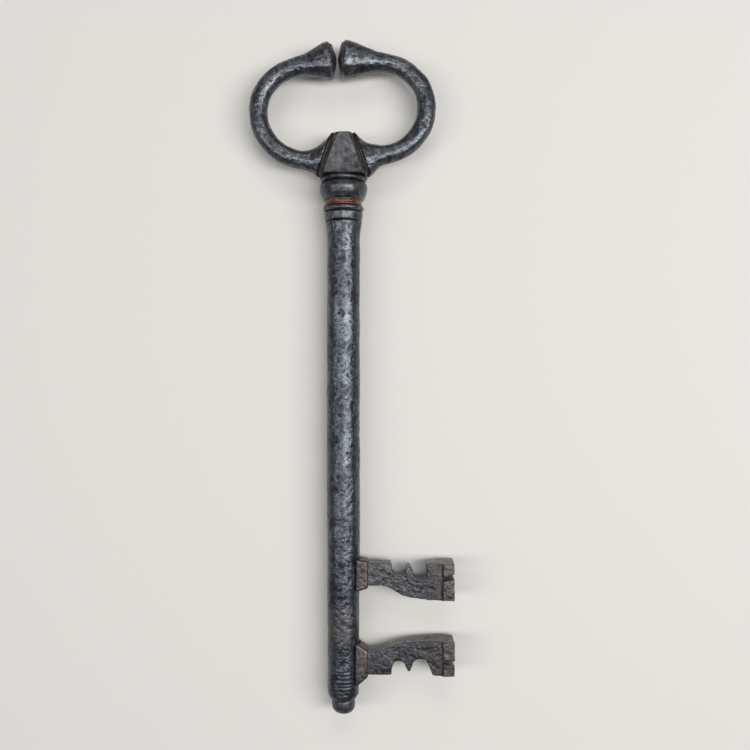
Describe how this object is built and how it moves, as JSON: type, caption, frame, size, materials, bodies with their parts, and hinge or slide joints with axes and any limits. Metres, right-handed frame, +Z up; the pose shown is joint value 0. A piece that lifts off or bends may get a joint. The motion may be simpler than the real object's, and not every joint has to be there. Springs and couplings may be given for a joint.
{
  "type": "wrought iron key",
  "caption": "Old hand-forged iron key: open bow of flared arms on a faceted block, collar stack, round shank with a nose, and warded bits.",
  "frame": {"origin": "on the surface that the key lies on, under the middle of its box", "axes": "+Y along the shank towards the bow, +X towards the bits, +Z up"},
  "size_m": [0.0516, 0.1696, 0.0121],
  "materials": {
    "iron": "hand-forged wrought iron, blued, waxed and worn, with brown rust in its recesses",
    "braze": "copper-red hard solder, dull and tarnished"
  },
  "bodies": {
    "root": {"shank": "iron", "shoulder_band": "iron", "neck_ring": "iron", "collar_braze": "braze", "collar_bead": "iron", "fillet_ring": "iron", "bow_root_block": "iron", "left_bow_arm": "iron", "right_bow_arm": "iron", "left_arm_braze": "braze", "right_arm_braze": "braze", "upper_bit": "iron", "lower_bit": "iron", "upper_bit_braze": "braze", "lower_bit_braze": "braze"}
  },
  "joints": []
}
